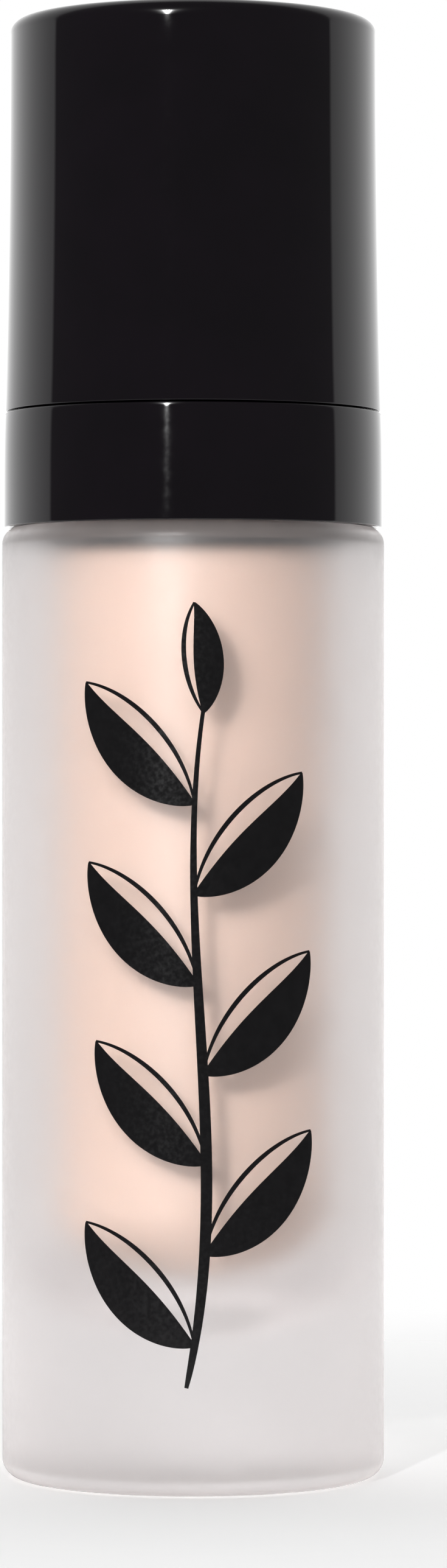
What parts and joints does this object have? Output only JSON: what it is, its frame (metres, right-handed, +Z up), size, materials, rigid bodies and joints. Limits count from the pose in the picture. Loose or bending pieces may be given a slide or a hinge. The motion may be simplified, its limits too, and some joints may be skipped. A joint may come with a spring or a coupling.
{
  "type": "foundation bottle",
  "caption": "Round frosted glass cosmetic bottle with an inner liner, a screwed-on treatment pump with a side spout, a black collar and a tall black overcap.",
  "frame": {"origin": "centre of the foot, on the surface the bottle stands on", "axes": "+Z up along the bottle's axis to the overcap; -Y is the front, where the spout points"},
  "size_m": [0.034, 0.034, 0.1291],
  "materials": {
    "frosted_glass": "acid-frosted outside",
    "liner_plastic": "thin milky natural plastic",
    "foundation": "wet opaque cream, light peach",
    "black_gloss": "moulded black, polished",
    "black_matte": "moulded black, fine matt",
    "natural_plastic": "natural milky plastic",
    "piston_plastic": "soft white plastic",
    "seal": "light grey foamed seal",
    "seal_black": "black elastomer",
    "steel": "bright drawn stainless",
    "label_film": "blank white film"
  },
  "bodies": {
    "bottle": {"glass_bottle": "frosted_glass", "liner_bottle": "liner_plastic", "centring_ring": "seal_black", "foundation_fill": "foundation", "shade_label": "label_film"},
    "pump": {"pump_housing": "natural_plastic", "neck_gasket": "seal", "dip_tube": "natural_plastic", "stem_bushing": "natural_plastic", "return_spring": "steel"},
    "closure": {"screw_closure": "black_matte", "collar_shell": "black_gloss"},
    "plunger": {"pump_stem": "natural_plastic", "piston_seal": "piston_plastic"},
    "actuator": {"actuator_head": "black_gloss", "spout_insert": "black_matte"},
    "overcap": {"overcap_shell": "black_gloss", "overcap_liner": "black_matte"},
    "inlet_valve": {"inlet_ball": "steel"},
    "outlet_valve": {"outlet_ball": "steel"}
  },
  "joints": [
    {"name": "pump_lift", "type": "slide", "parent": "bottle", "child": "pump", "axis": [0, 0, 1], "range_m": [0, 0.0048]},
    {"name": "closure_turn", "type": "hinge", "parent": "pump", "child": "closure", "pos_m": [0, 0, 0.09], "axis": [0, 0, 1], "range_deg": [0, 540]},
    {"name": "cap_pull", "type": "slide", "parent": "closure", "child": "overcap", "axis": [0, 0, 1], "range_m": [0, 0.04]},
    {"name": "press", "type": "slide", "parent": "pump", "child": "plunger", "axis": [0, 0, -1], "range_m": [0, 0.0032], "stiffness_N_per_m": 1000, "springref_m": -0.004, "deforming": ["return_spring"]},
    {"name": "actuator_spin", "type": "hinge", "parent": "plunger", "child": "actuator", "pos_m": [0, 0, 0.108], "axis": [0, 0, 1], "continuous": true},
    {"name": "inlet_ball_lift", "type": "slide", "parent": "pump", "child": "inlet_valve", "axis": [0, 0, 1], "range_m": [0, 0.0008]},
    {"name": "outlet_ball_lift", "type": "slide", "parent": "plunger", "child": "outlet_valve", "axis": [0, 0, 1], "range_m": [0, 0.0008]}
  ],
  "couplings": [
    {"joint": "pump_lift", "follows": "closure_turn", "m_per_rad": 0.00050532}
  ]
}
